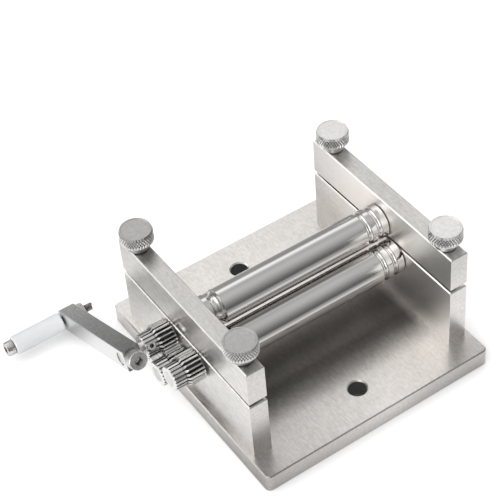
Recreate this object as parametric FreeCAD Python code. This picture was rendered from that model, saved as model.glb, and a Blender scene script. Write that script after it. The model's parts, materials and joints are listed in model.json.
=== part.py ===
import FreeCAD, Part
import math
import os

V = FreeCAD.Vector
X_DIR, Y_DIR, Z_DIR = V(1, 0, 0), V(0, 1, 0), V(0, 0, 1)

# Three-roll hand mill for jewellery sheet and wire, in millimetres.
# +X runs along the rollers from the crank side to the plain side, +Y goes from the
# operator's side to the back, and the origin is the centre of the base's underside.

# Base plate
base_side_margin = 2.0
base_end_margin = 10.5
base_thickness = 7.0
base_corner_radius = 2.0
edge_break = 0.4
bench_hole_radius = 3.3
bench_hole_end_margin = 13.5
bench_hole_chamfer = 0.5

# Side frames: a fixed block below, a lifting cap above
side_opening = 76.0
side_thickness = 7.0
side_depth = 79.0
block_above_bores = 5.0
cap_height = 14.3
cap_gap = 1.6

# Rollers and their journals
roller_radius = 6.4
roller_gap = 1.0
roller_end_play = 0.25
roller_edge_break = 0.3
wide_groove_width = 4.0
wide_groove_depth = 1.7
wide_groove_flange = 3.0
narrow_groove_width = 2.2
narrow_groove_depth = 0.9
narrow_groove_land = 2.0
narrow_groove_flange = 2.85
journal_radius = 2.5
running_clearance = 0.05
journal_recess = 0.6
lower_roller_spacing = 17.6
lower_roller_height = 26.7

# Pinions
gear_module = 0.5
gear_teeth = 21
pressure_angle = math.radians(20)
gear_backlash = 0.1
tooth_root_depth = 0.9
idler_turn = math.radians(5)
tooth_length = 6.7
gear_length = 11.3
hub_radius = 4.65
gear_to_block_gap = 0.7
grub_radius = 1.5
grub_recess = 0.3
grub_hex = 1.5
grub_from_hub_end = 2.2
drive_grub_angle = 144.0
hidden_grub_angle = -100.0
axle_head_clearance = 0.5
axle_head_thickness = 1.2
axle_head_gap = 0.1

# Crank
crank_throw = 51.0
crank_thickness = 6.5
crank_width = 8.0
crank_end_margin = 4.0
crank_droop = 24.0
crank_to_hub_gap = 2.0
crank_edge_break = 0.3
shaft_end_recess = 0.3
clamp_head_radius = 3.5
clamp_head_height = 4.0
clamp_thread_radius = 2.0
clamp_hex = 3.0

# Handle
grip_radius = 3.6
grip_length = 19.6
grip_arm_gap = 0.7
grip_head_gap = 0.2
grip_clearance = 0.08
handle_screw_radius = 1.5
handle_screw_length = 33.0
handle_head_radius = 2.75
handle_head_height = 3.0
handle_hex = 2.5
handle_nut_flats = 5.5
handle_nut_thickness = 2.4

# Thumbscrews and lift springs
thumb_end_margin = 7.5
thumb_radius = 6.0
thumb_band_height = 4.6
thumb_chamfer = 0.7
thumb_taper_height = 1.5
thumb_collar_radius = 4.0
thumb_collar_height = 2.2
thumb_thread_radius = 2.0
thumb_thread_length = 27.0
thumb_tip_room = 3.0
thumb_hole_clearance = 0.15
spring_to_thumb = 10.5
spring_radius = 2.1
spring_wire_radius = 0.3
spring_turns = 5
spring_chords_per_turn = 12
spring_pocket_depth = 3.0
spring_pocket_clearance = 0.4

# Screws from under the base into the blocks
block_screw_end_margin = 19.5
block_screw_radius = 2.0
block_screw_length = 12.0
block_screw_head_radius = 3.5
block_screw_head_height = 4.0
block_screw_hex = 3.0
counterbore_clearance = 0.25
counterbore_extra_depth = 0.4
tapped_hole_extra = 2.0

# A fastener or shaft that is held tight keeps this radial gap in its hole
seat_gap = 0.01

# Levels and places that follow from the sizes above
inner_face = side_opening / 2
outer_face = inner_face + side_thickness
side_centre = inner_face + side_thickness / 2
base_width = 2 * (outer_face + base_side_margin)
base_depth = side_depth + 2 * base_end_margin
bench_hole_spacing = base_depth - 2 * bench_hole_end_margin
thumb_spacing = side_depth - 2 * thumb_end_margin
spring_spacing = thumb_spacing - 2 * spring_to_thumb
block_screw_spacing = side_depth - 2 * block_screw_end_margin
roller_half_length = inner_face - roller_end_play
half_spacing = lower_roller_spacing / 2
top_roller_rise = math.sqrt((2 * roller_radius + roller_gap) ** 2 - half_spacing ** 2)
top_roller_height = lower_roller_height + top_roller_rise
block_top = lower_roller_height + block_above_bores
cap_base = block_top + cap_gap
cap_top = cap_base + cap_height
pitch_radius = gear_module * gear_teeth / 2
tip_radius = pitch_radius + gear_module
root_radius = pitch_radius - tooth_root_depth
gear_back = -outer_face - gear_to_block_gap
gear_front = gear_back - gear_length
crank_inner = gear_front - crank_to_hub_gap
crank_outer = crank_inner - crank_thickness
idler_height = lower_roller_height - math.sqrt((2 * pitch_radius) ** 2 - half_spacing ** 2)
axle_head_radius = 2 * pitch_radius - roller_radius - axle_head_clearance
drive_axis = V(0, half_spacing, lower_roller_height)
driven_axis = V(0, -half_spacing, lower_roller_height)
idler_axis = V(0, 0, idler_height)
top_axis = V(0, 0, top_roller_height)
bore_radius = journal_radius + running_clearance


def block(x_low, x_high, y_low, y_high, z_low, z_high):
    return Part.makeBox(x_high - x_low, y_high - y_low, z_high - z_low, V(x_low, y_low, z_low))


def rod(radius, start, direction, length):
    return Part.makeCylinder(radius, length, start, direction)


def rod_along_x(radius, x_low, x_high, axis):
    return rod(radius, V(x_low, axis.y, axis.z), X_DIR, x_high - x_low)


def turned_along_x(outline, axis):
    """Solid turned about an X line through axis; outline is a closed list of edges in X and radius."""
    face = Part.Face(Part.Wire(outline))
    solid = face.revolve(V(0, 0, 0), X_DIR, 360)
    solid.translate(V(0, axis.y, axis.z))
    return solid


def turned_along_z(points, centre):
    """Solid turned about a Z line through centre; points are (radius, height) corners."""
    corners = [V(radius, 0, height) for radius, height in points]
    face = Part.Face(Part.makePolygon(corners + corners[:1]))
    solid = face.revolve(V(0, 0, 0), Z_DIR, 360)
    solid.translate(centre)
    return solid


def hexagon_prism(flats, start, direction, length):
    corner_radius = flats / math.sqrt(3)
    corners = [V(corner_radius * math.cos(math.radians(60 * i)),
                 corner_radius * math.sin(math.radians(60 * i)), 0) for i in range(7)]
    prism = Part.Face(Part.makePolygon(corners)).extrude(V(0, 0, length))
    prism.Placement = FreeCAD.Placement(start, FreeCAD.Rotation(Z_DIR, direction))
    return prism


def cap_screw(thread_radius, length, head_radius, head_height, hex_flats, seat, direction):
    """Socket-head screw; seat is the middle of its bearing face, direction runs to the tip."""
    head = rod(head_radius, seat - direction * head_height, direction, head_height)
    rim = min(edge_break, head_height / 4)
    head = head.makeChamfer(rim, [head.Edges[i] for i in outer_rim(head, seat - direction * head_height)])
    shank = rod(thread_radius, seat, direction, length)
    socket = hexagon_prism(hex_flats, seat - direction * head_height, direction, head_height / 2)
    return head.fuse(shank).removeSplitter().cut(socket)


def outer_rim(shape, centre):
    """Indices of the circular edges centred on the given point."""
    found = []
    for index, edge in enumerate(shape.Edges):
        if hasattr(edge.Curve, "Center") and edge.Curve.Center.distanceToPoint(centre) < 1e-6:
            found.append(index)
    return found


def save(shape, node):
    shape.exportStep("parts/" + node + ".step")


def side_positions(spacing):
    """The X sides and Y places of four features, one pair on each side frame."""
    return [(side, y) for side in (-1, 1) for y in (-spacing / 2, spacing / 2)]


def base_plate():
    plate = block(-base_width / 2, base_width / 2, -base_depth / 2, base_depth / 2, 0, base_thickness)
    corners = [edge for edge in plate.Edges if abs(edge.tangentAt(edge.FirstParameter).z) > 0.9]
    plate = plate.makeFillet(base_corner_radius, corners)
    top_edges = [edge for edge in plate.Edges if edge.BoundBox.ZMin > base_thickness - 1e-6]
    plate = plate.makeChamfer(edge_break, top_edges)
    for y in (-bench_hole_spacing / 2, bench_hole_spacing / 2):
        wide = bench_hole_radius + bench_hole_chamfer
        hole = turned_along_z([(0, 0), (bench_hole_radius, 0),
                               (bench_hole_radius, base_thickness - bench_hole_chamfer),
                               (wide, base_thickness), (0, base_thickness)], V(0, y, 0))
        plate = plate.cut(hole)
    sink_depth = block_screw_head_height + counterbore_extra_depth
    for side, y in side_positions(block_screw_spacing):
        foot = V(side * side_centre, y, 0)
        sink = rod(block_screw_head_radius + counterbore_clearance, foot, Z_DIR, sink_depth)
        hole = rod(block_screw_radius + seat_gap, foot, Z_DIR, base_thickness)
        plate = plate.cut(sink.fuse(hole))
    return plate


def side_bar(side, z_low, z_high):
    """A bar of the side frame with its long edges broken."""
    x_low, x_high = sorted((side * inner_face, side * outer_face))
    bar = block(x_low, x_high, -side_depth / 2, side_depth / 2, z_low, z_high)
    top_edges = [edge for edge in bar.Edges if edge.BoundBox.ZMin > z_high - 1e-6]
    return bar.makeChamfer(edge_break, top_edges)


def side_block(side):
    """Fixed lower block: bearings of the lower rollers, tapped holes and spring pockets."""
    bar = side_bar(side, base_thickness, block_top)
    x_low, x_high = sorted((side * inner_face, side * outer_face))
    for axis in (drive_axis, driven_axis):
        bar = bar.cut(rod_along_x(bore_radius, x_low, x_high, axis))
    if side < 0:
        bar = bar.cut(rod_along_x(bore_radius, x_low, x_high, idler_axis))
    thread_depth = thumb_thread_length - cap_height - cap_gap + thumb_tip_room
    for y in (-thumb_spacing / 2, thumb_spacing / 2):
        mouth = V(side * side_centre, y, block_top)
        bar = bar.cut(rod(thumb_thread_radius + running_clearance, mouth, -Z_DIR, thread_depth))
    for y in (-spring_spacing / 2, spring_spacing / 2):
        mouth = V(side * side_centre, y, block_top)
        bar = bar.cut(rod(spring_radius + spring_pocket_clearance, mouth, -Z_DIR, spring_pocket_depth))
    screw_reach = block_screw_length - (base_thickness - block_screw_head_height - counterbore_extra_depth)
    for y in (-block_screw_spacing / 2, block_screw_spacing / 2):
        mouth = V(side * side_centre, y, base_thickness)
        hole = rod(block_screw_radius + seat_gap, mouth, Z_DIR, screw_reach + tapped_hole_extra)
        bar = bar.cut(hole)
    return bar


def side_cap(side):
    """Lifting cap: bearing of the top roller, clear holes and spring pockets."""
    bar = side_bar(side, cap_base, cap_top)
    x_low, x_high = sorted((side * inner_face, side * outer_face))
    bar = bar.cut(rod_along_x(bore_radius, x_low, x_high, top_axis))
    for y in (-thumb_spacing / 2, thumb_spacing / 2):
        foot = V(side * side_centre, y, cap_base)
        bar = bar.cut(rod(thumb_thread_radius + thumb_hole_clearance, foot, Z_DIR, cap_height))
    for y in (-spring_spacing / 2, spring_spacing / 2):
        foot = V(side * side_centre, y, cap_base)
        bar = bar.cut(rod(spring_radius + spring_pocket_clearance, foot, Z_DIR, spring_pocket_depth))
    return bar


def roller(axis, left_end, right_end):
    """Ground roller and its journals, with one wide wire groove at the crank end and two narrow ones."""
    half = roller_half_length
    flat = half - roller_edge_break
    rim = roller_radius - roller_edge_break
    outer_groove = half - narrow_groove_flange - narrow_groove_width
    inner_groove = outer_groove - narrow_groove_land - narrow_groove_width
    grooves = [(-half + wide_groove_flange, wide_groove_width, wide_groove_depth),
               (inner_groove, narrow_groove_width, narrow_groove_depth),
               (outer_groove, narrow_groove_width, narrow_groove_depth)]

    def point(x, radius):
        return V(x, radius, 0)

    outline = []
    land_start = point(-flat, roller_radius)
    for groove_start, width, depth in grooves:
        near = point(groove_start, roller_radius)
        floor = point(groove_start + width / 2, roller_radius - depth)
        far = point(groove_start + width, roller_radius)
        outline.append(Part.LineSegment(land_start, near).toShape())
        outline.append(Part.Arc(near, floor, far).toShape())
        land_start = far
    ends = Part.makePolygon([
        land_start, point(flat, roller_radius), point(half, rim), point(half, journal_radius),
        point(right_end, journal_radius), point(right_end, 0), point(left_end, 0),
        point(left_end, journal_radius), point(-half, journal_radius), point(-half, rim),
        point(-flat, roller_radius)])
    return turned_along_x(outline + ends.Edges, axis)


def tooth_half_angle(radius):
    """Half the angle that a tooth spans at a radius; the flank is an involute above its base."""
    base_radius = pitch_radius * math.cos(pressure_angle)
    flank_angle = math.acos(min(1, base_radius / max(radius, base_radius)))
    at_pitch = math.pi / (2 * gear_teeth) - gear_backlash / (4 * pitch_radius)
    at_pitch += math.tan(pressure_angle) - pressure_angle
    return at_pitch - (math.tan(flank_angle) - flank_angle)


def gear(axis, phase, grub_angle):
    """Pinion cut over its whole length, with the teeth turned down over the hub."""
    base_radius = pitch_radius * math.cos(pressure_angle)
    middle_radius = (base_radius + tip_radius) / 2

    def point(radius, angle):
        return V(0, radius * math.cos(angle), radius * math.sin(angle))

    def arc(first, second, third):
        return Part.Arc(point(*first), point(*second), point(*third)).toShape()

    def line(first, second):
        return Part.LineSegment(point(*first), point(*second)).toShape()

    pitch_angle = 2 * math.pi / gear_teeth
    edges = []
    for tooth in range(gear_teeth):
        centre = phase + tooth * pitch_angle
        at_base = tooth_half_angle(base_radius)
        at_middle = tooth_half_angle(middle_radius)
        at_tip = tooth_half_angle(tip_radius)
        edges += [
            line((root_radius, centre - at_base), (base_radius, centre - at_base)),
            arc((base_radius, centre - at_base), (middle_radius, centre - at_middle),
                (tip_radius, centre - at_tip)),
            arc((tip_radius, centre - at_tip), (tip_radius, centre), (tip_radius, centre + at_tip)),
            arc((tip_radius, centre + at_tip), (middle_radius, centre + at_middle),
                (base_radius, centre + at_base)),
            line((base_radius, centre + at_base), (root_radius, centre + at_base)),
            arc((root_radius, centre + at_base), (root_radius, centre + pitch_angle / 2),
                (root_radius, centre + pitch_angle - at_base)),
        ]
    toothed = Part.Face(Part.Wire(edges)).extrude(V(-gear_length, 0, 0))
    toothed.translate(V(gear_back, axis.y, axis.z))

    slope = tip_radius - hub_radius
    step = gear_back - tooth_length
    rim = hub_radius - edge_break
    corners = [(gear_back, 0), (gear_back, tip_radius), (step + slope, tip_radius), (step, hub_radius),
               (gear_front + edge_break, hub_radius), (gear_front, rim), (gear_front, 0), (gear_back, 0)]
    blank = turned_along_x(Part.makePolygon([V(x, radius, 0) for x, radius in corners]).Edges, axis)
    solid = toothed.common(blank)
    solid = solid.cut(rod_along_x(journal_radius + seat_gap, gear_front, gear_back, axis))
    outward = V(0, math.cos(math.radians(grub_angle)), math.sin(math.radians(grub_angle)))
    grub_centre = V(gear_front + grub_from_hub_end, axis.y, axis.z)
    return solid.cut(rod(grub_radius + seat_gap, grub_centre, outward, tip_radius))


def grub_screw(axis, grub_angle):
    """Set screw that locks a pinion to its shaft."""
    outward = V(0, math.cos(math.radians(grub_angle)), math.sin(math.radians(grub_angle)))
    centre = V(gear_front + grub_from_hub_end, axis.y, axis.z)
    outer = hub_radius - grub_recess
    blank = rod(grub_radius, centre, outward, outer)
    bore_low, bore_high = centre.x - 2 * grub_radius, centre.x + 2 * grub_radius
    tip_form = rod_along_x(journal_radius + seat_gap, bore_low, bore_high, axis)
    socket_depth = (outer - journal_radius) / 2
    socket = hexagon_prism(grub_hex, centre + outward * outer, -outward, socket_depth)
    return blank.cut(tip_form).cut(socket)


def idler_axle():
    """Headed pin, put in from between the side frames, that turns in the left block."""
    head_low = -inner_face + axle_head_gap
    pin = rod_along_x(journal_radius, gear_front, head_low, idler_axis)
    head = rod_along_x(axle_head_radius, head_low, head_low + axle_head_thickness, idler_axis)
    return pin.fuse(head)


def crank_direction():
    droop = math.radians(crank_droop)
    return V(0, math.cos(droop), -math.sin(droop))


def handle_axis():
    return drive_axis + crank_direction() * crank_throw


def crank_arm():
    """Square bar, round at the handle end, with its shaft bore close to the flat end."""
    half = crank_width / 2
    flat = V(crank_outer, -crank_end_margin, -half)
    bar = Part.makeBox(crank_thickness, crank_end_margin + crank_throw, crank_width, flat)
    tip = rod(half, V(crank_outer, crank_throw, 0), X_DIR, crank_thickness)
    arm = bar.fuse(tip).removeSplitter()
    arm = arm.makeChamfer(crank_edge_break, [edge for edge in arm.Edges if edge_on_side(edge)])
    for hole_radius, reach in ((journal_radius, 0), (handle_screw_radius, crank_throw)):
        hole_start = V(crank_outer, reach, 0)
        arm = arm.cut(rod(hole_radius + seat_gap, hole_start, X_DIR, crank_thickness))
    clamp_start = V(crank_outer + crank_thickness / 2, -crank_end_margin, 0)
    arm = arm.cut(rod(clamp_thread_radius + seat_gap, clamp_start, Y_DIR, crank_end_margin))
    arm.rotate(V(0, 0, 0), X_DIR, -crank_droop)
    arm.translate(drive_axis)
    return arm


def edge_on_side(edge):
    """Whether an edge lies wholly in the arm's inner or outer face."""
    box = edge.BoundBox
    return box.XLength < 1e-6 and min(abs(box.XMin - crank_outer), abs(box.XMin - crank_inner)) < 1e-6


def crank_clamp_screw():
    """Screw in the arm's flat end that bears on the shaft."""
    seat = drive_axis - crank_direction() * crank_end_margin
    seat.x = crank_outer + crank_thickness / 2
    reach = crank_end_margin
    screw = cap_screw(clamp_thread_radius, reach, clamp_head_radius, clamp_head_height, clamp_hex,
                      seat, crank_direction())
    return screw.cut(rod_along_x(journal_radius + seat_gap, crank_outer, crank_inner, drive_axis))


def handle_grip():
    axis = handle_axis()
    inner = crank_outer - grip_arm_gap
    outer = inner - grip_length
    rim = grip_radius - edge_break
    bore = handle_screw_radius + grip_clearance
    corners = [(inner, bore), (inner, rim), (inner - edge_break, grip_radius),
               (outer + edge_break, grip_radius), (outer, rim), (outer, bore), (inner, bore)]
    return turned_along_x(Part.makePolygon([V(x, radius, 0) for x, radius in corners]).Edges, axis)


def handle_screw():
    axis = handle_axis()
    seat = V(crank_outer - grip_arm_gap - grip_length - grip_head_gap, axis.y, axis.z)
    return cap_screw(handle_screw_radius, handle_screw_length, handle_head_radius,
                     handle_head_height, handle_hex, seat, X_DIR)


def handle_nut():
    axis = handle_axis()
    face = V(crank_inner, axis.y, axis.z)
    nut = hexagon_prism(handle_nut_flats, face, X_DIR, handle_nut_thickness)
    corner_radius = handle_nut_flats / math.sqrt(3)
    rim = corner_radius - edge_break
    far = crank_inner + handle_nut_thickness
    corners = [(crank_inner, 0), (crank_inner, rim), (crank_inner + edge_break, corner_radius),
               (far - edge_break, corner_radius), (far, rim), (far, 0), (crank_inner, 0)]
    dome = turned_along_x(Part.makePolygon([V(x, radius, 0) for x, radius in corners]).Edges, axis)
    nut = nut.common(dome)
    return nut.cut(rod_along_x(handle_screw_radius + seat_gap, crank_inner, far, axis))


def thumbscrew(side, y):
    """Knurled screw whose collar presses the cap down against its springs."""
    band_base = thumb_collar_height + thumb_taper_height
    top = band_base + thumb_band_height
    profile = [(0, -thumb_thread_length), (thumb_thread_radius - edge_break, -thumb_thread_length),
               (thumb_thread_radius, -thumb_thread_length + edge_break), (thumb_thread_radius, 0),
               (thumb_collar_radius, 0), (thumb_collar_radius, thumb_collar_height),
               (thumb_radius, band_base), (thumb_radius, top - thumb_chamfer),
               (thumb_radius - thumb_chamfer, top), (0, top)]
    return turned_along_z(profile, V(side * side_centre, y, cap_top))


def lift_spring(side, y):
    """Compression spring between the pocket floors; its six-sided wire climbs in short chords."""
    height = cap_gap + 2 * spring_pocket_depth - 2 * seat_gap
    climb = height - 2 * spring_wire_radius
    chords = spring_turns * spring_chords_per_turn
    sections = []
    for chord in range(chords + 1):
        section = spring_wire_section()
        section.rotate(V(0, 0, 0), Z_DIR, 360 * chord / spring_chords_per_turn)
        section.translate(V(0, 0, climb * chord / chords))
        sections.append(section)
    coil = Part.makeLoft(sections, True, True)
    lowest = block_top - spring_pocket_depth + seat_gap
    coil.translate(V(side * side_centre, y, lowest + spring_wire_radius))
    return coil


def spring_wire_section():
    coil_radius = spring_radius - spring_wire_radius
    corners = []
    for corner in range(7):
        angle = math.radians(30 + 60 * corner)
        across = spring_wire_radius * math.cos(angle)
        corners.append(V(coil_radius + across, 0, spring_wire_radius * math.sin(angle)))
    return Part.makePolygon(corners)


def block_screws():
    seat_height = block_screw_head_height + counterbore_extra_depth
    screws = []
    for side, y in side_positions(block_screw_spacing):
        seat = V(side * side_centre, y, seat_height)
        screws.append(cap_screw(block_screw_radius, block_screw_length, block_screw_head_radius,
                                block_screw_head_height, block_screw_hex, seat, Z_DIR))
    return Part.makeCompound(screws)


def meshing_phase(phase, axis, other):
    """Phase of a like pinion on the axis other that meshes with one on axis at the given phase."""
    towards = math.atan2(other.z - axis.z, other.y - axis.y)
    pitch_angle = 2 * math.pi / gear_teeth
    return towards + math.pi - (phase - towards) + pitch_angle / 2


def main():
    os.makedirs("parts", exist_ok=True)
    save(base_plate(), "base_plate")
    for name, side in (("left", -1), ("right", 1)):
        save(side_block(side), name + "_block")
        save(side_cap(side), name + "_cap")
    save(block_screws(), "block_screws")

    journal_end = outer_face - journal_recess
    save(roller(top_axis, -journal_end, journal_end), "top_roller")
    save(roller(driven_axis, gear_front, journal_end), "front_roller")
    save(roller(drive_axis, crank_outer + shaft_end_recess, journal_end), "back_roller")

    idler_phase = math.atan2(drive_axis.z - idler_axis.z, drive_axis.y - idler_axis.y) + idler_turn
    drive_phase = meshing_phase(idler_phase, idler_axis, drive_axis)
    driven_phase = meshing_phase(idler_phase, idler_axis, driven_axis)
    pinions = (("drive", drive_axis, drive_phase, drive_grub_angle),
               ("idler", idler_axis, idler_phase, hidden_grub_angle),
               ("driven", driven_axis, driven_phase, hidden_grub_angle))
    for name, axis, phase, grub_angle in pinions:
        save(gear(axis, phase, grub_angle), name + "_gear")
        save(grub_screw(axis, grub_angle), name + "_gear_screw")
    save(idler_axle(), "idler_axle")

    save(crank_arm(), "crank_arm")
    save(crank_clamp_screw(), "crank_clamp_screw")
    save(handle_grip(), "handle_grip")
    save(handle_screw(), "handle_screw")
    save(handle_nut(), "handle_nut")

    row_names = {-1: "front", 1: "back"}
    side_names = {-1: "left", 1: "right"}
    for side, y in side_positions(thumb_spacing):
        place = side_names[side] + "_" + row_names[math.copysign(1, y)]
        save(thumbscrew(side, y), "thumbscrew_" + place)
    for side, y in side_positions(spring_spacing):
        place = side_names[side] + "_" + row_names[math.copysign(1, y)]
        save(lift_spring(side, y), "lift_spring_" + place)


main()
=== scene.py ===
import bpy
import json
import math
from mathutils import Matrix, Vector


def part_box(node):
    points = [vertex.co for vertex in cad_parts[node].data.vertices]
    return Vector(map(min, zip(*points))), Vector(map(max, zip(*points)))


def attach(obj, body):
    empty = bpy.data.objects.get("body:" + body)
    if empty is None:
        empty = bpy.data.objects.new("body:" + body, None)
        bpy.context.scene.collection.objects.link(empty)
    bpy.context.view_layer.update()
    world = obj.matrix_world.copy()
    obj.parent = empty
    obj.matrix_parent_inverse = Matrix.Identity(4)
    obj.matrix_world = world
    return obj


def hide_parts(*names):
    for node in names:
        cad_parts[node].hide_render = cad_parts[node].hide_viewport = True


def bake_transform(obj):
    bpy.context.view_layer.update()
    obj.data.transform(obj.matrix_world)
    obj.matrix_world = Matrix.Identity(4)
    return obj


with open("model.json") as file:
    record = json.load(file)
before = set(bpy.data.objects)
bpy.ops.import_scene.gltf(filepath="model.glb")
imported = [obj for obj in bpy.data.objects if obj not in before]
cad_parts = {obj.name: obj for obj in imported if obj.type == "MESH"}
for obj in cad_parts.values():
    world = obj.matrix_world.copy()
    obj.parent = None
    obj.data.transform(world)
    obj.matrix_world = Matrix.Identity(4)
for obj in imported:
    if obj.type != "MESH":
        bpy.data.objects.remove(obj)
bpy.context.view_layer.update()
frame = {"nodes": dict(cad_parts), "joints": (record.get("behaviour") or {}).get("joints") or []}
nodes = frame["nodes"]
joints = {joint["name"]: joint for joint in frame["joints"]}
capCorners = ("left_front", "left_back", "right_front", "right_back")  # a screw and a spring each
smoothBelow = {"knurl": 25, "thread": 50, "socket": 20, "shank": 30}  # degrees between two faces
print("frame loaded:", len(nodes), "nodes")


def deselectAll():
    if bpy.context.object and bpy.context.object.mode != "OBJECT":
        bpy.ops.object.mode_set(mode="OBJECT")
    bpy.ops.object.select_all(action="DESELECT")


def workOn(*pieces):
    deselectAll()
    for piece in pieces:
        piece.select_set(True)
    bpy.context.view_layer.objects.active = pieces[0]


def pickCorners(piece, test):
    # selects the corners whose place passes the test, and stays in edit mode
    workOn(piece)
    for item in [*piece.data.vertices, *piece.data.edges, *piece.data.polygons]:
        item.select = False
    for corner in piece.data.vertices:
        corner.select = test(corner.co)
    bpy.ops.object.mode_set(mode="EDIT")
    bpy.ops.mesh.select_mode(type="VERT")


def applyPlace(piece):
    workOn(piece)
    bpy.ops.object.transform_apply(location=True, rotation=True, scale=True)


def faceOutwards():
    bpy.ops.mesh.select_all(action="SELECT")
    bpy.ops.mesh.normals_make_consistent(inside=False)
    bpy.ops.object.mode_set(mode="OBJECT")


def turnedPiece(name, rings, segments=64):
    # rings are (radius, height) from the bottom up; the end face is pulled up and scaled to each
    radius, height = rings[0]
    deselectAll()
    bpy.ops.mesh.primitive_circle_add(vertices=segments, radius=radius, fill_type="NGON",
                                      location=(0, 0, height))
    piece = bpy.context.object
    piece.name = name
    applyPlace(piece)
    bpy.ops.object.mode_set(mode="EDIT")
    bpy.ops.mesh.select_mode(type="FACE")
    bpy.ops.mesh.select_all(action="SELECT")
    for newRadius, newHeight in rings[1:]:
        lift = {"value": (0, 0, newHeight - height)}
        scale = newRadius / radius
        bpy.ops.mesh.extrude_region_move(TRANSFORM_OT_translate=lift)
        bpy.ops.transform.resize(value=(scale, scale, 1), center_override=(0, 0, newHeight))
        radius, height = newRadius, newHeight
    faceOutwards()
    return piece


def sweepHelix(piece, rise, turns, steps, merge=0.0):
    # sweeps the piece's outline up a helix about Z, and stays in edit mode
    screw = piece.modifiers.new("helix", "SCREW")
    screw.screw_offset = rise
    screw.iterations = turns
    screw.steps = screw.render_steps = steps
    screw.use_merge_vertices = merge > 0
    screw.merge_threshold = merge
    bpy.ops.object.modifier_apply(modifier="helix")
    bpy.ops.object.mode_set(mode="EDIT")


def closeEnds():
    # fills the open loops of the piece in edit mode, and leaves that mode
    bpy.ops.mesh.select_all(action="DESELECT")
    bpy.ops.mesh.select_mode(type="EDGE")
    bpy.ops.mesh.select_non_manifold()
    bpy.ops.mesh.fill_holes(sides=0)
    faceOutwards()


threadForm = {"depth": 0.6, "crest": 0.16, "merge": 0.005}  # all times the pitch


def threadedRod(name, size, low, high):
    # the V of one turn is swept up a helix and both ends are closed
    pitch, radius = size["pitch"], size["thread"]
    depth = threadForm["depth"] * pitch
    merge = threadForm["merge"] * pitch
    middle = low + pitch / 2
    deselectAll()
    bpy.ops.mesh.primitive_plane_add(size=1, rotation=(math.pi / 2, 0, 0),
                                     location=(radius - depth / 2, 0, middle))
    rod = bpy.context.object
    rod.name = name
    rod.scale = (depth, pitch, 1)
    applyPlace(rod)
    pickCorners(rod, lambda place: place.x > radius - depth / 2)
    bpy.ops.transform.resize(value=(1, 1, threadForm["crest"]),
                             center_override=(radius, 0, middle))
    pickCorners(rod, lambda place: place.x < radius - depth / 2)
    bpy.ops.mesh.delete(type="EDGE")
    bpy.ops.object.mode_set(mode="OBJECT")
    sweepHelix(rod, pitch, round((high - low) / pitch), size["steps"], merge)
    bpy.ops.mesh.select_all(action="SELECT")
    bpy.ops.mesh.remove_doubles(threshold=merge)
    closeEnds()
    return rod


def columnAt(place, columns):
    # number of the column of corners around Z that the place is in
    return round(math.atan2(place.y, place.x) * columns / (2 * math.pi))


def pressIn(piece, test, radius, depth):
    # draws the corners that pass the test towards Z
    pickCorners(piece, test)
    scale = 1 - depth / radius
    bpy.ops.transform.resize(value=(scale, scale, 1), center_override=(0, 0, 0))
    bpy.ops.object.mode_set(mode="OBJECT")


def joinPieces(first, *others):
    workOn(first, *others)
    bpy.ops.object.join()
    return first


def placePiece(piece, direction, centre):
    # turns the piece's own Z to the direction and moves it to the centre, in its mesh
    turn = Vector((0, 0, 1)).rotation_difference(direction)
    piece.matrix_world = Matrix.Translation(centre) @ turn.to_matrix().to_4x4()
    applyPlace(piece)


def smoothShade(piece, degrees):
    workOn(piece)
    bpy.ops.object.shade_smooth_by_angle(angle=math.radians(degrees))


def hexSocket(piece, flats, mouth, depth):
    # sinks a hexagonal socket into the piece from the mouth's height
    deselectAll()
    bpy.ops.mesh.primitive_cylinder_add(vertices=6, radius=flats / math.sqrt(3), depth=depth * 2,
                                        location=(0, 0, mouth))
    cutter = bpy.context.object
    applyPlace(cutter)
    workOn(piece)
    cut = piece.modifiers.new("socket", "BOOLEAN")
    cut.object = cutter
    cut.operation = "DIFFERENCE"
    cut.solver = "EXACT"
    bpy.ops.object.modifier_apply(modifier="socket")
    bpy.data.objects.remove(cutter)


def giveTo(piece, body, node, material):
    piece.data.materials.clear()
    piece.data.materials.append(material)
    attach(piece, body)
    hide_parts(node)


class Value:
    def __init__(self, shading, socket):
        self.shading = shading
        self.socket = socket

    def maths(self, operation, *values):
        return self.shading.node("ShaderNodeMath", {"operation": operation}, values)

    def __add__(self, other):
        return self.maths("ADD", self, other)

    __radd__ = __add__

    def __sub__(self, other):
        return self.maths("SUBTRACT", self, other)

    def __rsub__(self, other):
        return self.maths("SUBTRACT", other, self)

    def __mul__(self, other):
        return self.maths("MULTIPLY", self, other)

    __rmul__ = __mul__

    def __pow__(self, other):
        return self.maths("POWER", self, other)

    def __abs__(self):
        return self.maths("ABSOLUTE", self)


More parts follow.
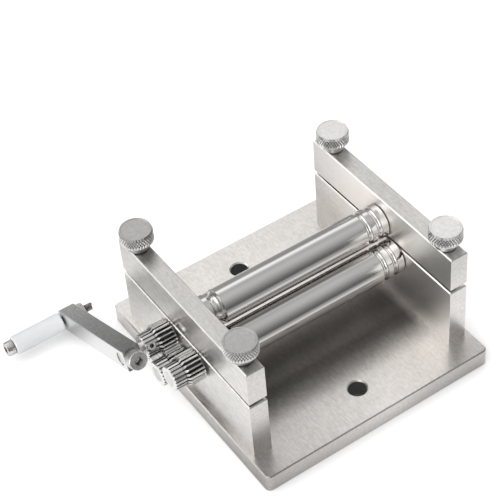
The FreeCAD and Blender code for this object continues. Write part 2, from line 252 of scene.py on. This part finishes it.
class Shading:
    def __init__(self, owner):
        owner.use_nodes = True
        self.owner = owner
        self.tree = owner.node_tree
        self.tree.nodes.clear()

    def node(self, kind, settings=None, values=(), output=0):
        made = self.tree.nodes.new(kind)
        for key, setting in (settings or {}).items():
            setattr(made, key, setting)
        pairs = values.items() if isinstance(values, dict) else enumerate(values)
        for key, value in pairs:
            if isinstance(value, Value):
                self.tree.links.new(value.socket, made.inputs[key])
            else:
                made.inputs[key].default_value = value
        return Value(self, made.outputs[output]) if made.outputs else None

    def place(self):
        return self.node("ShaderNodeTexCoord", output="Object")

    def axis(self, place, letter):
        return self.node("ShaderNodeSeparateXYZ", {}, (place,), letter)

    def axes(self, place, letters="XYZ"):
        return [self.axis(place, letter) for letter in letters]

    def noise(self, where, scale=1.0, detail=3.0, roughness=0.55):
        return self.node("ShaderNodeTexNoise", {}, {"Vector": where, "Scale": scale, "Detail": detail,
                                                    "Roughness": roughness})

    def streaks(self, place, scales, detail=3.0, roughness=0.55):
        # noise with its own scale along each axis
        along = self.node("ShaderNodeVectorMath", {"operation": "MULTIPLY"}, (place, scales))
        return self.noise(along, detail=detail, roughness=roughness)

    def rings(self, value, perMetre):
        line = self.node("ShaderNodeCombineXYZ", {}, (value * perMetre, 0.0, 0.0))
        return self.noise(line, detail=2.0)

    def openness(self, reach):
        # 1 in the open, less in corners
        return self.node("ShaderNodeAmbientOcclusion", {"samples": 8}, {"Distance": reach}, output="AO")

    def band(self, value, low, high, start=0.0, end=1.0):
        # start up to low, end from high on, and a straight ramp between them
        return self.node("ShaderNodeMapRange", {"clamp": True},
                         {"Value": value, "From Min": low, "From Max": high,
                          "To Min": start, "To Max": end})

    def fade(self, value, low, high):
        return self.band(value, low, high, 1.0, 0.0)

    def above(self, value, level, width=0.0001):
        return self.band(value, level, level + width)

    def below(self, value, level, width=0.0001):
        return self.fade(value, level, level + width)

    def blend(self, factor, first, second):
        return self.node("ShaderNodeMix", {"data_type": "RGBA"}, {0: factor, 6: first, 7: second},
                         output=2)

    def tones(self, factor, look):
        return self.blend(factor, grey(look["dark"], look["warmth"]),
                          grey(look["light"], look["warmth"]))

    def darken(self, factor, colour):
        return self.blend(factor, colour, grey(0.0))

    def bump(self, height, distance, strength):
        return self.node("ShaderNodeBump", {}, {"Height": height, "Distance": distance,
                                                "Strength": strength})

    def finish(self, sockets):
        shader = self.node("ShaderNodeBsdfPrincipled", {}, sockets)
        self.node("ShaderNodeOutputMaterial", {}, {"Surface": shader})
        return self.owner


def newShading(name):
    return Shading(bpy.data.materials.new(name))


def grey(value, warmth=0.0):
    return (value * (1 + warmth), value, value * (1 - warmth), 1)


def weighed(shares, *values):
    # sum of the values, each times its share
    total = values[0] * shares[0]
    for value, share in zip(values[1:], shares[1:]):
        total = total + value * share
    return total


def metal(shading, colour, rough, normal):
    return shading.finish({"Base Color": colour, "Roughness": rough, "Normal": normal, "Metallic": 1.0})


noiseSpan = (0.3, 0.7)  # most of a noise lies between these

plateLook = {"grain": (2600.0, 260.0, 2600.0), "mottle": (900.0, 600.0, 900.0), "cloud": 34.0,
             "scratch": (1500.0, 60.0, 1500.0), "scratchSpan": (0.70, 0.80), "scratchShown": 0.3,
             "scratchGlint": 1.1, "shares": (0.40, 0.35, 0.25), "contrast": (0.39, 0.61),
             "dark": 0.64, "light": 0.87, "warmth": 0.04, "roughShares": (0.5, 0.5),
             "rough": (0.27, 0.33), "bump": (0.000003, 0.3)}


def brushedSteel(name, look, marks):
    # fine grain along Y, soft mottle and clouds, a few faint scratches, and the piece's own marks
    shading = newShading(name)
    place = shading.place()
    grain = shading.streaks(place, look["grain"], roughness=0.6)
    mottle = shading.streaks(place, look["mottle"], roughness=0.6)
    cloud = shading.noise(place, look["cloud"], detail=2.0)
    scratch = shading.streaks(place, look["scratch"], detail=1.0)
    tone = shading.band(weighed(look["shares"], grain, mottle, cloud), *look["contrast"])
    glint = grey(look["light"] * look["scratchGlint"], look["warmth"])
    scratched = shading.band(scratch, *look["scratchSpan"]) * look["scratchShown"]
    colour = shading.blend(scratched, shading.tones(tone, look), glint)
    rough = shading.band(weighed(look["roughShares"], grain, mottle), *noiseSpan, *look["rough"])
    colour, rough = marks(shading, look, place, colour, rough)
    return metal(shading, colour, rough, shading.bump(grain, *look["bump"]))


# lengths are in metres on the mill's own axes
baseLook = {**plateLook, "rough": (0.31, 0.37), "stainAndShade": 0.58, "shadeSides": (0.034, 0.038),
            "shadeFront": (-0.034, -0.022), "shadeBack": (0.0, 0.012), "cornerDark": 0.30,
            "cornerSides": (0.010, 0.045), "cornerBack": (-0.045, 0.0), "holeAt": 0.0365,
            "holeRadius": 0.00335, "holeEdge": 0.00005, "holeTone": 0.60}


def baseMarks(shading, look, place, colour, rough):
    # a painted shadow of the rollers below the front roller, the plate darker towards the front corners,
    # and unlit bench holes
    x, y = shading.axes(place, "XY")
    # painted shadow: the plate darkened below the front roller, where the rollers shade it
    stainAndShade = shading.fade(abs(x), *look["shadeSides"]) * shading.fade(y, *look["shadeBack"])
    stainAndShade = stainAndShade * shading.band(y, *look["shadeFront"])
    # the plate darker towards the front corners
    towardCorners = shading.band(abs(x), *look["cornerSides"]) * shading.fade(y, *look["cornerBack"])
    colour = shading.darken(stainAndShade * look["stainAndShade"] + towardCorners * look["cornerDark"], colour)
    along = abs(y) - look["holeAt"]
    distance = (x * x + along * along) ** 0.5
    wall = shading.below(distance, look["holeRadius"], look["holeEdge"])
    return shading.blend(wall, colour, grey(look["holeTone"])), rough


barLook = {**plateLook, "grain": (2600.0, 200.0, 2600.0), "warmth": 0.03, "rough": (0.29, 0.35),
           "topAt": 0.0474, "topSpan": (-0.04, 0.04), "topShade": (0.14, 0.06), "topRough": 0.06,
           "innerFrom": (0.0, 0.001), "innerAt": 0.0381, "innerSlope": 0.5, "innerRise": (0.005, 0.050),
           "innerShade": 0.3, "innerRough": 0.10}


def barMarks(shading, look, place, colour, rough):
    # painted shade on the tops, deeper on the left, and on the right side's inner face painted shade low
    # down and a painted highlight high up
    x, y, z = shading.axes(place)
    top = shading.above(z, look["topAt"])
    # painted shade: the caps' tops darkened, more on the left
    colour = shading.darken(top * shading.band(x, *look["topSpan"], *look["topShade"]), colour)
    rough = rough + top * look["topRough"]
    inner = shading.band(x, *look["innerFrom"]) * shading.below(x, look["innerAt"])
    high = shading.band(z - y * look["innerSlope"], *look["innerRise"])
    # painted shade low on the right side's inner face
    colour = shading.darken(inner * (1.0 - high) * look["innerShade"], colour)
    # painted highlight: the right side's inner face near white high up
    colour = shading.blend(inner * high, colour, grey(1.0, look["warmth"]))
    return colour, rough + inner * high * look["innerRough"]


crankLook = {**plateLook, "dark": 0.56, "light": 0.80, "grain": (2200.0, 160.0, 1800.0),
             "warmth": 0.005, "shadeAlong": (0.010, 0.050), "stainAndShade": (0.42, 0.0),
             "outerAt": -0.06545, "outerHighlight": 0.86}


def crankMarks(shading, look, place, colour, rough):
    # painted shade that thins from the shaft to the grip, and a painted highlight on the outer face
    x, y = shading.axes(place, "XY")
    # painted shade, deepest at the shaft
    colour = shading.darken(shading.band(y, *look["shadeAlong"], *look["stainAndShade"]), colour)
    # painted highlight: the outer face near white
    return shading.blend(shading.below(x, look["outerAt"]), colour, grey(look["outerHighlight"])), rough


plateSteel = brushedSteel("plateSteel", baseLook, baseMarks)
barSteel = brushedSteel("barSteel", barLook, barMarks)
crankSteel = brushedSteel("crankSteel", crankLook, crankMarks)


rollerLook = {"ringsPerMetre": 5200.0, "stains": (22.0, 140.0, 140.0), "shares": (0.45, 0.55),
              "contrast": (0.36, 0.64), "dark": 0.66, "light": 0.76, "warmth": 0.025,
              "roughShares": (0.6, 0.4), "rough": (0.15, 0.19), "bump": (0.000001, 0.3),
              "endAt": 0.0440, "endEdge": 0.0005, "endRough": 0.15}


def groundRoller(look):
    # fine rings from cylindrical grinding, faint long stains and duller journal ends
    shading = newShading("groundRoller")
    place = shading.place()
    rings = shading.rings(shading.axis(place, "X"), look["ringsPerMetre"])
    stainAndShade = shading.streaks(place, look["stains"])
    tone = shading.band(weighed(look["shares"], rings, stainAndShade), *look["contrast"])
    rough = shading.band(weighed(look["roughShares"], rings, stainAndShade), *noiseSpan, *look["rough"])
    end = shading.above(abs(shading.axis(place, "X")), look["endAt"], look["endEdge"])
    rough = rough + end * look["endRough"]
    return metal(shading, shading.tones(tone, look), rough, shading.bump(rings, *look["bump"]))


rollerSteel = groundRoller(rollerLook)


# radii from each gear's axle to the edge of the painted shade in the roots and grooves, and places along
# X
gearLook = {"root": 0.00437, "hubClear": 0.00450, "toothClear": 0.00535, "step": -0.0524,
            "stepEdge": 0.0006, "endAt": -0.0567, "seam": 0.0027, "seamEdge": (0.00005, 0.0002),
            "seamBreaks": (0.42, 0.56), "seamTone": 0.3, "endHighlight": 0.86,
            "marks": (300.0, 2600.0, 2600.0), "grime": 420.0, "shares": (0.85, 0.2),
            "contrast": (0.15, 0.90), "dark": 0.05, "hubGrooveShade": 0.20, "light": 0.77, "warmth": 0.01,
            "rough": (0.20, 0.32), "bump": (0.00001, 0.4),
            "axes": {"drive_gear": "crank_turn", "idler_gear": "idler_spin",
                     "driven_gear": "front_roller_spin"}}


def cutGear(node, look):
    # painted shade in the tooth roots and hub grooves, bright tips, cutter marks along the teeth and a
    # painted highlight on the sawn end
    axle = joints[look["axes"][node]]["pos_m"]
    shading = newShading(node + "Steel")
    place = shading.place()
    x, y, z = shading.axes(place)
    across = y - axle[1]
    up = z - axle[2]
    distance = (across * across + up * up) ** 0.5
    marks = shading.streaks(place, look["marks"])
    grime = shading.noise(place, look["grime"])
    step, width = look["step"], look["stepEdge"]
    clear = shading.band(x, step - width, step + width, look["hubClear"], look["toothClear"])
    # painted shade: dark below the clear radius, in the tooth roots and the hub's grooves
    clearOfShade = shading.band(distance, look["root"], clear)
    tone = shading.band(weighed(look["shares"], clearOfShade, grime), *look["contrast"])
    onTeeth = shading.band(x, step - width, step)
    # painted shade: near black in the tooth roots, dark grey in the hub's grooves
    rootShade = shading.blend(onTeeth, grey(look["hubGrooveShade"]), grey(look["dark"]))
    cut = shading.blend(tone, rootShade, grey(look["light"], look["warmth"]))
    seam = shading.fade(abs(distance - look["seam"]), *look["seamEdge"])
    seam = seam * shading.band(grime, *look["seamBreaks"])
    # painted highlight: the end faces near white
    end = shading.blend(seam, grey(look["endHighlight"], look["warmth"]), grey(look["seamTone"]))
    colour = shading.blend(shading.below(x, look["endAt"]), cut, end)
    rough = shading.band(marks, *noiseSpan, *look["rough"])
    return metal(shading, colour, rough, shading.bump(marks, *look["bump"]))


smallLook = {"stainSpan": (0.35, 0.68), "dustScale": 4, "warmth": 0.01, "recessShade": 0.03,
             "recessReach": 0.0012, "recessSpan": (0.42, 0.80), "bump": (0.000005, 0.3)}
screwLook = {**smallLook, "stainAndShade": 520.0, "dark": 0.60, "light": 0.84, "rough": (0.21, 0.33)}
zincLook = {**smallLook, "stainAndShade": 800.0, "dark": 0.58, "light": 0.72, "rough": (0.25, 0.37)}
pinLook = {**smallLook, "stainAndShade": 600.0, "dark": 0.55, "light": 0.66, "rough": (0.19, 0.31)}
springLook = {**smallLook, "stainAndShade": 900.0, "dark": 0.26, "light": 0.36, "rough": (0.30, 0.42)}


def plainSteel(name, look):
    # stained, slightly dull skin of small turned or drawn parts, with painted shade in sockets and
    # corners
    shading = newShading(name)
    place = shading.place()
    stainAndShade = shading.noise(place, look["stainAndShade"], detail=4.0, roughness=0.6)
    skin = shading.tones(shading.band(stainAndShade, *look["stainSpan"]), look)
    dust = shading.noise(place, look["stainAndShade"] * look["dustScale"], detail=2.0)
    # painted shade: dark where nearby faces close the point in
    outOfRecess = shading.band(shading.openness(look["recessReach"]), *look["recessSpan"])
    colour = shading.blend(outOfRecess, grey(look["recessShade"]), skin)
    rough = shading.band(dust, *noiseSpan, *look["rough"])
    return metal(shading, colour, rough, shading.bump(dust, *look["bump"]))


screwMetal = plainSteel("screwSteel", screwLook)
zincSteel = plainSteel("brightZinc", zincLook)
pinSteel = plainSteel("turnedPin", pinLook)
springWire = plainSteel("springWire", springLook)


nylonLook = {"ringsPerMetre": 3800.0, "marks": (90.0, 260.0, 260.0), "contrast": (0.35, 0.7),
             "dark": 0.82, "light": 0.90, "warmth": -0.01, "roughShares": (0.5, 0.5),
             "rough": (0.37, 0.49), "bump": (0.00003, 0.5), "depthWeight": 0.15, "depthReach": 0.0015}


def turnedNylon(look):
    # soft white plastic with faint lathe rings and handling marks
    shading = newShading("turnedNylon")
    place = shading.place()
    rings = shading.rings(shading.axis(place, "X"), look["ringsPerMetre"])
    marks = shading.streaks(place, look["marks"], detail=4.0)
    colour = shading.tones(shading.band(marks, *look["contrast"]), look)
    rough = shading.band(weighed(look["roughShares"], rings, marks), *noiseSpan, *look["rough"])
    return shading.finish({"Base Color": colour, "Roughness": rough,
                           "Normal": shading.bump(rings, *look["bump"]),
                           "Subsurface Weight": look["depthWeight"],
                           "Subsurface Scale": look["depthReach"],
                           "Subsurface Radius": (1.0, 1.0, 1.0)})


nylon = turnedNylon(nylonLook)
print("finishes made")


def dress(material, *names):
    for name in names:
        nodes[name].data.materials.clear()
        nodes[name].data.materials.append(material)


dress(plateSteel, "base_plate")
dress(barSteel, "left_block", "right_block", "left_cap", "right_cap")
dress(rollerSteel, "top_roller", "front_roller", "back_roller")
dress(crankSteel, "crank_arm")
dress(nylon, "handle_grip")
dress(zincSteel, "handle_nut")
dress(pinSteel, "idler_axle")
dress(screwMetal, "drive_gear_screw", "idler_gear_screw", "driven_gear_screw", "block_screws")
for gearName in gearLook["axes"]:
    dress(cutGear(gearName, gearLook), gearName)
print("frame dressed")


# heights are from the cap's top; the neck keeps the collar's edge off the cap
thumb = {"neck": 0.0032, "neckTop": 0.0005, "collar": 0.0040, "collarTop": 0.0022, "head": 0.0060,
         "bandLow": 0.0037, "bandHigh": 0.0072, "face": 0.0056, "top": 0.0083, "dish": 0.0051,
         "dishWall": 0.0001, "dishDepth": 0.00008, "knurls": 36, "knurlRows": 4, "knurlDepth": 0.00040,
         "thread": 0.0020, "pitch": 0.0007, "steps": 24, "length": 0.0268}
headLook = {"ringsPerMetre": 7000.0, "speck": 900.0, "shares": (0.6, 0.4), "contrast": (0.36, 0.66),
            "toneShares": (0.25, 0.75), "clearAbove": (0.00002, 0.00014), "dark": 0.03,
            "light": (0.50, 0.90), "lightFrom": (-0.01, 0.01), "knurl": 1.0, "warmth": 0.012,
            "edge": 0.0001, "rough": (0.25, 0.36), "bump": (0.00002, 0.35)}


def turnedHead(look):
    # turning rings about each screw's own axis, a painted shadow on the necks, painted shade in the
    # hollows of the knurl and a painted highlight on its lands, and the left heads painted darker
    x0, y0, seat = (abs(number) for number in joints["left_back_screw_turn"]["pos_m"])
    shading = newShading("turnedHead")
    place = shading.place()
    x, y, z = shading.axes(place)
    across = abs(x) - x0
    along = abs(y) - y0
    distance = (across * across + along * along) ** 0.5
    rings = shading.rings(distance, look["ringsPerMetre"])
    speck = shading.noise(place, look["speck"], detail=2.0)
    bottom = thumb["head"] - thumb["knurlDepth"]
    # painted shade: the knurl's hollows near black
    clearOfShade = shading.band(distance, *(bottom + rise for rise in look["clearAbove"]))
    onRim = shading.above(z, seat + thumb["bandLow"]) * shading.below(z, seat + thumb["bandHigh"])
    # painted shadow: the neck under the collar near black
    neckShadow = shading.below(z, seat + thumb["neckTop"] - look["edge"])
    shown = 1.0 - onRim * (1.0 - clearOfShade) - neckShadow
    turned = shading.band(weighed(look["shares"], rings, speck), *look["contrast"])
    tone = weighed(look["toneShares"], turned, shown)
    # painted shade: the heads on the left are darker than those on the right
    left, right = (grey(light, look["warmth"]) for light in look["light"])
    light = shading.blend(shading.band(x, *look["lightFrom"]), left, right)
    # painted highlight: the knurl's lands near white
    light = shading.blend(onRim, light, grey(look["knurl"], look["warmth"]))
    colour = shading.blend(tone, grey(look["dark"], look["warmth"]), light)
    rough = shading.band(rings, *noiseSpan, *look["rough"])
    return metal(shading, colour, rough, shading.bump(rings, *look["bump"]))


def knurledHead():
    columns = thumb["knurls"] * 2
    low, high = thumb["bandLow"], thumb["bandHigh"]
    step = (high - low) / thumb["knurlRows"]
    rows = [(thumb["head"], low + step * row) for row in range(thumb["knurlRows"] + 1)]
    head = turnedPiece("thumbHead", [
        (thumb["neck"], 0.0), (thumb["neck"], thumb["neckTop"]), (thumb["collar"], thumb["neckTop"]),
        (thumb["collar"], thumb["collarTop"]), *rows, (thumb["face"], thumb["top"]),
        (thumb["dish"], thumb["top"]),
        (thumb["dish"] - thumb["dishWall"], thumb["top"] - thumb["dishDepth"])], columns)

    def isHollow(place):
        # every other corner of the band above its lowest row, like the dark squares of a draughts board
        row = round((place.z - low) / step)
        inBand = low + step / 2 < place.z < high + step / 4
        return inBand and (columnAt(place, columns) + row) % 2 == 1

    pressIn(head, isHollow, thumb["head"], thumb["knurlDepth"])
    pickCorners(head, lambda place: low - step / 4 < place.z < high + step / 4)
    bpy.ops.mesh.quads_convert_to_tris(quad_method="SHORTEST_DIAGONAL")
    bpy.ops.object.mode_set(mode="OBJECT")
    smoothShade(head, smoothBelow["knurl"])
    return head


def makeThumbscrews():
    headSteel = turnedHead(headLook)
    shank = threadedRod("thumbThread", thumb, -thumb["length"], 0.0)
    smoothShade(shank, smoothBelow["thread"])
    pattern = joinPieces(knurledHead(), shank)
    for corner in capCorners:
        screw = pattern.copy()
        screw.data = pattern.data.copy()
        screw.name = "knurledScrew_" + corner
        bpy.context.scene.collection.objects.link(screw)
        placePiece(screw, Vector((0, 0, 1)), Vector(joints[corner + "_screw_turn"]["pos_m"]))
        giveTo(screw, "screw_" + corner, "thumbscrew_" + corner, headSteel)
    bpy.data.objects.remove(pattern)


makeThumbscrews()
print("thumbscrews made")


# armWay points from the shaft to the grip's axle
shaftPoint = Vector(joints["crank_turn"]["pos_m"])
gripPoint = Vector(joints["grip_spin"]["pos_m"])
armWay = Vector((0, gripPoint.y - shaftPoint.y, gripPoint.z - shaftPoint.z)).normalized()
clamp = {"armMiddle": -0.06225, "margin": 0.0040, "head": 0.0035, "height": 0.0040, "shank": 0.0020,
         "reach": 0.00148, "hex": 0.0030, "socket": 0.0020, "flutes": 36, "fluteDepth": 0.00009}
axle = {"seat": -0.0860, "head": 0.00275, "height": 0.0030, "shank": 0.0015, "plain": 0.0262,
        "thread": 0.0015, "pitch": 0.0005, "steps": 24, "length": 0.0330, "hex": 0.0025,
        "socket": 0.0015, "flutes": 24, "fluteDepth": 0.00006}


# rimTop, fluteTop and chamferTop are shares of the head's height
socketForm = {"edge": 0.0001, "rimTop": 0.86, "fluteTop": 0.9, "chamferTop": 0.95, "crownIn": 0.00035,
              "shankSides": 32, "lap": 0.0002}


def socketHead(name, size):
    # drawn with its socket upwards and its seat at zero
    columns = size["flutes"] * 2
    height, rim, edge = size["height"], size["head"], socketForm["edge"]
    head = turnedPiece(name, [
        (rim - edge, 0.0), (rim, edge), (rim, height * socketForm["rimTop"]),
        (rim - edge, height * socketForm["chamferTop"]), (rim - socketForm["crownIn"], height)], columns)

    def isFlute(place):
        onRim = edge / 2 < place.z < height * socketForm["fluteTop"]
        return onRim and columnAt(place, columns) % 2 == 1

    pressIn(head, isFlute, rim, size["fluteDepth"])
    hexSocket(head, size["hex"], height, size["socket"])
    smoothShade(head, smoothBelow["socket"])
    return head


def plainShank(name, radius, length):
    shank = turnedPiece(name, [(radius, -length), (radius, socketForm["edge"])],
                        socketForm["shankSides"])
    smoothShade(shank, smoothBelow["shank"])
    return shank


def makeClampScrew():
    head = socketHead("clampScrew", clamp)
    screw = joinPieces(head, plainShank("clampShank", clamp["shank"], clamp["reach"]))
    armMiddle = Vector((clamp["armMiddle"], shaftPoint.y, shaftPoint.z))
    placePiece(screw, -armWay, armMiddle - armWay * clamp["margin"])
    giveTo(screw, "drive", "crank_clamp_screw", screwMetal)


def makeAxleScrew():
    head = socketHead("gripAxleScrew", axle)
    plain = plainShank("axleShank", axle["shank"], axle["plain"])
    thread = threadedRod("axleThread", axle, -axle["length"], socketForm["lap"] - axle["plain"])
    smoothShade(thread, smoothBelow["thread"])
    screw = joinPieces(head, plain, thread)
    placePiece(screw, Vector((-1, 0, 0)), Vector((axle["seat"], gripPoint.y, gripPoint.z)))
    giveTo(screw, "drive", "handle_screw", screwMetal)


makeClampScrew()
makeAxleScrew()
print("crank screws made")


spring = {"wire": 0.0003, "turns": 5, "steps": 24, "sides": 8}


def liftSpring(node, corner):
    # round wire between two pockets
    low, high = (Vector(point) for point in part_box(node))
    wire = spring["wire"]
    deselectAll()
    bpy.ops.mesh.primitive_circle_add(vertices=spring["sides"], radius=wire,
                                      rotation=(math.pi / 2, 0, 0),
                                      location=((high.x - low.x) / 2 - wire, 0, 0))
    coil = bpy.context.object
    coil.name = "coilSpring_" + corner
    applyPlace(coil)
    rise = (high.z - low.z - 2 * wire) / spring["turns"]
    sweepHelix(coil, rise, spring["turns"], spring["steps"])
    closeEnds()
    smoothShade(coil, smoothBelow["thread"])
    middle = (low + high) / 2
    placePiece(coil, Vector((0, 0, 1)), Vector((middle.x, middle.y, low.z + wire)))
    coil.data.materials.append(springWire)
    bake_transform(coil)
    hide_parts(node)


for corner in capCorners:
    liftSpring("lift_spring_" + corner, corner)
print("springs made")


# underMill is half the size of the unlit patch below the base plate
studio = {"floorSize": 3.0, "floorDrop": 0.0002, "floorTone": 0.80, "floorLift": 0.56,
          "underMill": (0.0455, 0.0485), "underEdge": 0.001, "underTone": 0.02, "underGlow": 0.05,
          "nearFloor": 1.04, "farFloor": 0.42, "floorFade": (0.055, 0.15), "shadowReach": 0.009,
          "ambient": 0.10, "longLight": 1.02, "longHeight": 0.69, "longHalf": (0.04, 0.22),
          "longBack": (0.15, 0.50), "longSide": (-0.40, 0.10), "longLeft": 0.3,
          "cameraAt": (-0.20575, -0.32424, 0.42375), "cameraTurn": (45.4172, 3.9112, -34.1814),
          "lens": 113.63, "sensor": 36.0, "nearest": 0.01}
# from points towards a light, and more focus makes it smaller
softLights = [{"from": (-0.579, 0.211, 0.788), "focus": 4, "strength": 1.1},
              {"from": (0.604, -0.220, 0.766), "focus": 4, "strength": 0.55},
              {"from": (-0.700, 0.616, 0.360), "focus": 40, "strength": 1.2},
              {"from": (0.300, 0.930, 0.212), "focus": 10, "strength": 0.28},
              {"from": (-0.760, -0.620, 0.195), "focus": 12, "strength": 2.6}]
softLamps = {"keyLamp": {"place": (-0.69, 0.25, 0.95), "size": 1.0, "power": 2.0, "mirrored": True},
             "fillLamp": {"place": (-0.45, -0.60, 0.60), "size": 0.8, "power": 1.8, "mirrored": False}}


def makeFloor():
    # pale bench that keeps the mill's soft shadow and is unlit below the plate; metal mirrors it
    # brightest close to the mill
    deselectAll()
    bpy.ops.mesh.primitive_plane_add(size=studio["floorSize"], location=(0, 0, -studio["floorDrop"]))
    floor = bpy.context.object
    floor.name = "floor"
    applyPlace(floor)
    shading = newShading("paleFloor")
    x, y = shading.axes(shading.place(), "XY")
    width, length = studio["underMill"]
    under = shading.below(abs(x), width, studio["underEdge"])
    under = under * shading.below(abs(y), length, studio["underEdge"])
    reach = shading.node("ShaderNodeMath", {"operation": "MAXIMUM"}, (abs(y), x))
    shine = shading.band(reach, *studio["floorFade"], studio["nearFloor"], studio["farFloor"])
    lit = shading.openness(studio["shadowReach"]) * (1.0 - under)
    byEye = shading.node("ShaderNodeLightPath", output="Is Camera Ray")
    byMetal = shading.node("ShaderNodeLightPath", output="Is Glossy Ray")
    paint = shading.blend(under, grey(studio["floorTone"]), grey(studio["underTone"]))
    matte = shading.node("ShaderNodeBsdfDiffuse", {}, {"Color": paint})
    glow = under * studio["underGlow"]
    lifted = lit * byEye * studio["floorLift"] + glow
    lift = shading.node("ShaderNodeEmission", {}, {"Color": lifted, "Strength": 1.0})
    seen = shading.node("ShaderNodeAddShader", {}, (matte, lift))
    mirrored = shading.node("ShaderNodeEmission", {}, {"Color": lit * shine + glow, "Strength": 1.0})
    mixed = shading.node("ShaderNodeMixShader", {}, (byMetal, seen, mirrored))
    shading.node("ShaderNodeOutputMaterial", {}, {"Surface": mixed})
    floor.data.materials.append(shading.owner)


def makeWorld():
    # a long light behind, dimmer to the left, and round ones about; the camera itself sees white
    world = bpy.data.worlds.new("studioWorld")
    bpy.context.scene.world = world
    sky = Shading(world)
    way = sky.node("ShaderNodeTexCoord", output="Generated")
    x, y, z = sky.axes(way)
    low, high = studio["longHalf"]
    glow = sky.band(abs(z - studio["longHeight"]), low, high, studio["longLight"], 0.0)
    glow = glow * sky.band(y, *studio["longBack"])
    glow = glow * sky.band(x, *studio["longSide"], studio["longLeft"], 1.0) + studio["ambient"]
    for light in softLights:
        facing = sky.node("ShaderNodeVectorMath", {"operation": "DOT_PRODUCT"},
                          (way, light["from"]), "Value")
        glow = glow + sky.band(facing, 0.0, 1.0) ** light["focus"] * light["strength"]
    tone = sky.node("ShaderNodeBackground", {}, {"Color": glow, "Strength": 1.0})
    white = sky.node("ShaderNodeBackground", {}, {"Color": grey(1.0), "Strength": 1.0})
    byEye = sky.node("ShaderNodeLightPath", output="Is Camera Ray")
    mixed = sky.node("ShaderNodeMixShader", {}, (byEye, tone, white))
    sky.node("ShaderNodeOutputWorld", {}, {"Surface": mixed})


def makeLamps():
    # each lamp faces the middle of the base
    for name, settings in softLamps.items():
        deselectAll()
        bpy.ops.object.light_add(type="AREA", location=settings["place"])
        lamp = bpy.context.object
        lamp.name = name
        lamp.data.size = settings["size"]
        lamp.data.energy = settings["power"]
        lamp.rotation_euler = (-Vector(settings["place"])).to_track_quat("-Z", "Y").to_euler()
        lamp.visible_glossy = settings["mirrored"]


def makeCamera():
    bpy.ops.object.camera_add(location=studio["cameraAt"],
                              rotation=[math.radians(turn) for turn in studio["cameraTurn"]])
    camera = bpy.context.object
    camera.data.lens = studio["lens"]
    camera.data.sensor_width = studio["sensor"]
    camera.data.clip_start = studio["nearest"]
    bpy.context.scene.camera = camera


makeFloor()
makeWorld()
makeLamps()
makeCamera()
bpy.context.scene.view_settings.view_transform = "Standard"
print("studio made")
